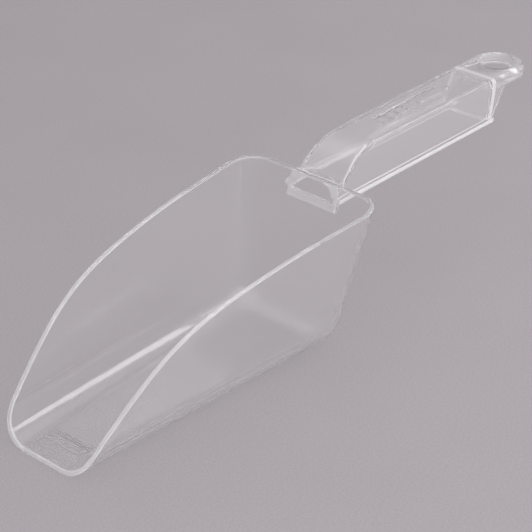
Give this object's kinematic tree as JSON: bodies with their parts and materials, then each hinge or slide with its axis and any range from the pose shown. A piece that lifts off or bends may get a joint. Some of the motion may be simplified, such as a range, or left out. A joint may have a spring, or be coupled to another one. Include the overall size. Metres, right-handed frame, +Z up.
{
  "type": "ice scoop",
  "caption": "Clear plastic ice scoop: deep flat-bottomed bowl with a swept rim and thinned lip, and a hollow channel handle with a hang hole.",
  "frame": {"origin": "middle of the bowl's flat base, on the surface that the scoop stands on", "axes": "+X towards the mouth, +Z up, +Y to the side; the scoop is the same on both sides of the XZ plane"},
  "size_m": [0.3666, 0.0922, 0.0894],
  "materials": {
    "clear_bowl": "clear moulded polycarbonate, polished inside and out",
    "clear_handle": "clear moulded polycarbonate, polished"
  },
  "bodies": {
    "root": {"bowl": "clear_bowl", "handle": "clear_handle"}
  },
  "joints": []
}
